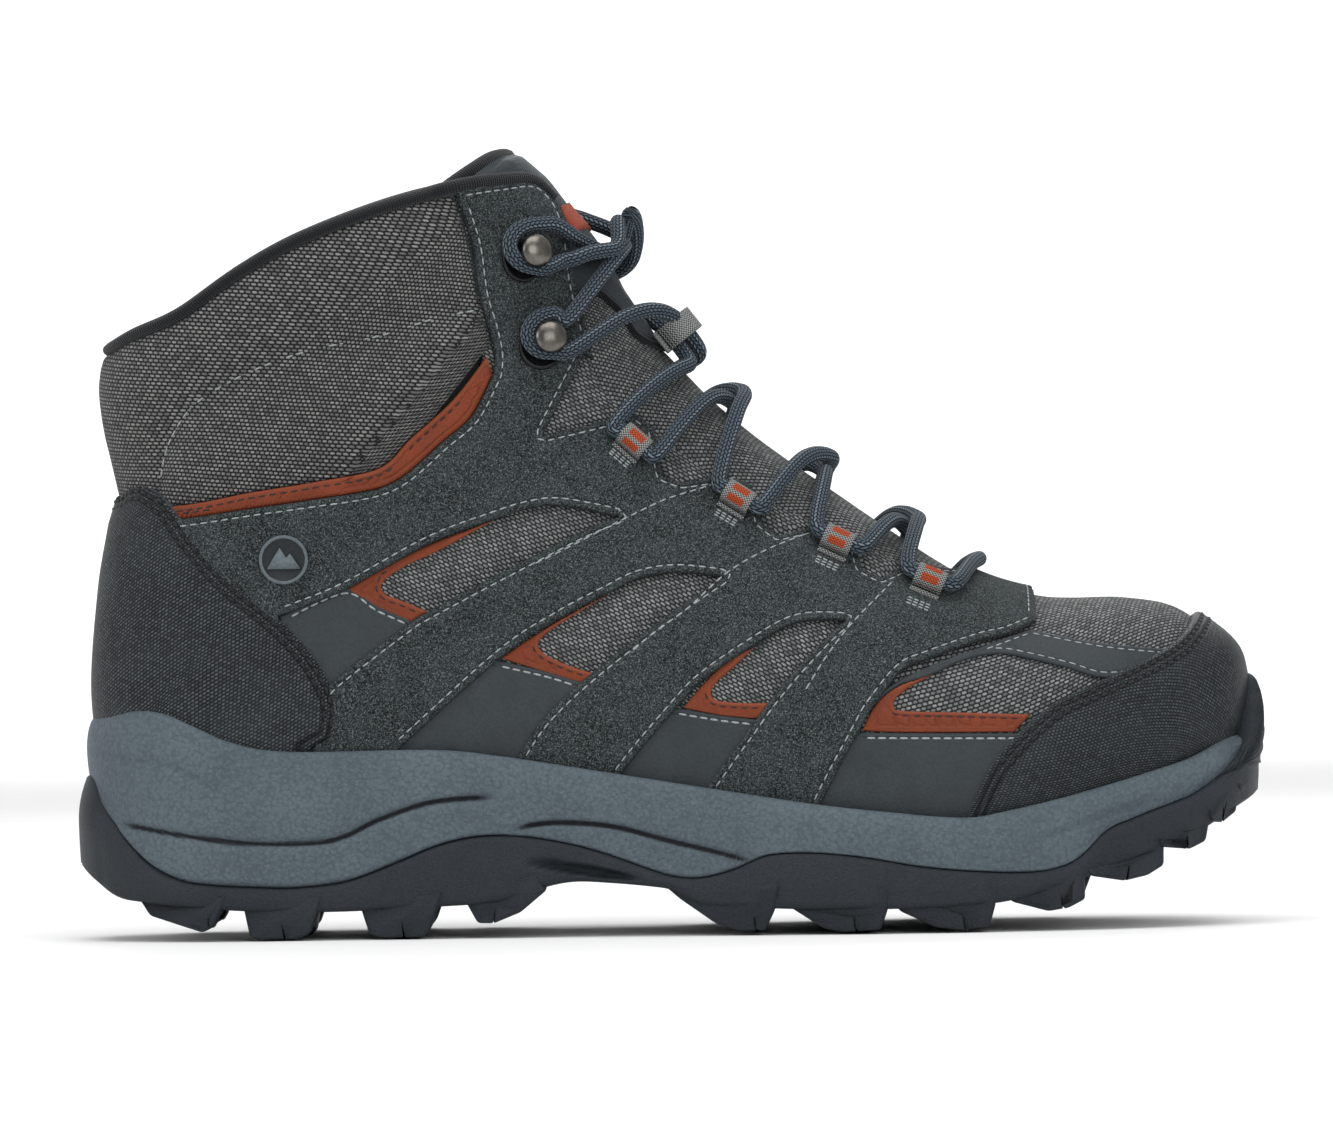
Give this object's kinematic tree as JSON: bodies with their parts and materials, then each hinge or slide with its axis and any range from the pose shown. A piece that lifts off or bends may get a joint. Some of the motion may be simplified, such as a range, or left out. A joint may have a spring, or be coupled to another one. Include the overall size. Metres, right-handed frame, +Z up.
{
  "type": "hiking boot",
  "caption": "Mid-height laced hiking boot for the right foot: lugged outsole, foam midsole, suede and mesh upper, padded collar and tongue, webbing lace loops and metal hooks.",
  "frame": {"origin": "on the ground under the middle of the heel, at the centre of the tread face of the middle heel lug", "axes": "+X from heel to toe, +Y to the inner (medial) side of the foot, +Z up"},
  "size_m": [0.3114, 0.1123, 0.2066],
  "materials": {
    "outsole_rubber": "moulded matt rubber, very dark blue-grey",
    "midsole_foam": "moulded blue-grey foam with a fine matt grain",
    "shank_plastic": "moulded stiffening plate, out of sight",
    "board": "pressed fibre board, out of sight",
    "footbed_foam": "foam with a dark fabric cover",
    "lining_fabric": "napped knit lining, dark grey",
    "padding_foam": "open cell foam, out of sight",
    "binding_knit": "black ribbed knit binding",
    "mesh_fabric": "grey sandwich mesh with a dark ground",
    "collar_fabric": "black mesh with light grey knots",
    "accent_leather": "rust coloured smooth leather",
    "smooth_leather": "smooth slate grey leather",
    "suede": "dark slate suede with a fine nap",
    "toe_cap_plastic": "matt coated synthetic, dark slate",
    "heel_cover_fabric": "coated fine twill, nearly black",
    "stiffener_plastic": "thermoplastic sheet, out of sight",
    "label_fabric": "rust coloured woven label",
    "webbing": "grey and white woven webbing with rust blocks",
    "lace_cord": "round braided cord, dark slate blue with light flecks",
    "aglet_plastic": "clear black lace tip",
    "disc_enamel": "black enamelled washer",
    "hook_metal": "antique nickel, worn bright on the dome",
    "badge_rubber": "light grey moulded badge"
  },
  "bodies": {
    "boot_shell": {"outsole": "outsole_rubber", "midsole": "midsole_foam", "shank": "shank_plastic", "insole_board": "board", "bootie_lining": "lining_fabric", "collar_lining": "lining_fabric", "collar_foam": "padding_foam", "collar_binding": "binding_knit", "vamp_mesh": "mesh_fabric", "quarter_mesh_lateral": "mesh_fabric", "quarter_mesh_medial": "mesh_fabric", "collar_panel": "collar_fabric", "accent_trim_lateral": "accent_leather", "accent_trim_medial": "accent_leather", "mudguard_lateral": "smooth_leather", "mudguard_medial": "smooth_leather", "vamp_straps": "smooth_leather", "suede_overlay": "suede", "toe_cap": "toe_cap_plastic", "heel_cover": "heel_cover_fabric", "heel_counter": "stiffener_plastic", "toe_puff": "stiffener_plastic", "tongue_gussets": "mesh_fabric", "lace": "lace_cord", "aglets": "aglet_plastic", "lace_loops_lateral": "webbing", "lace_loops_medial": "webbing", "hook_backings": "disc_enamel", "lace_hooks": "hook_metal", "badge": "badge_rubber"},
    "tongue": {"tongue_panel": "smooth_leather", "tongue_mesh": "mesh_fabric", "tongue_foam": "padding_foam", "tongue_lining": "lining_fabric", "tongue_binding": "binding_knit", "tongue_label": "label_fabric", "tongue_keeper": "webbing"},
    "footbed_body": {"footbed": "footbed_foam"}
  },
  "joints": [
    {"name": "tongue_hinge", "type": "hinge", "parent": "boot_shell", "child": "tongue", "pos_m": [0.1855, 0.0023, 0.0885], "axis": [0, 1, 0], "range_deg": [-2.5, 0], "deforming": ["lace", "tongue_gussets"]},
    {"name": "footbed_lift", "type": "hinge", "parent": "boot_shell", "child": "footbed_body", "pos_m": [0.2405, 0.005, 0.043], "axis": [0, 1, 0], "range_deg": [0, 6]}
  ]
}
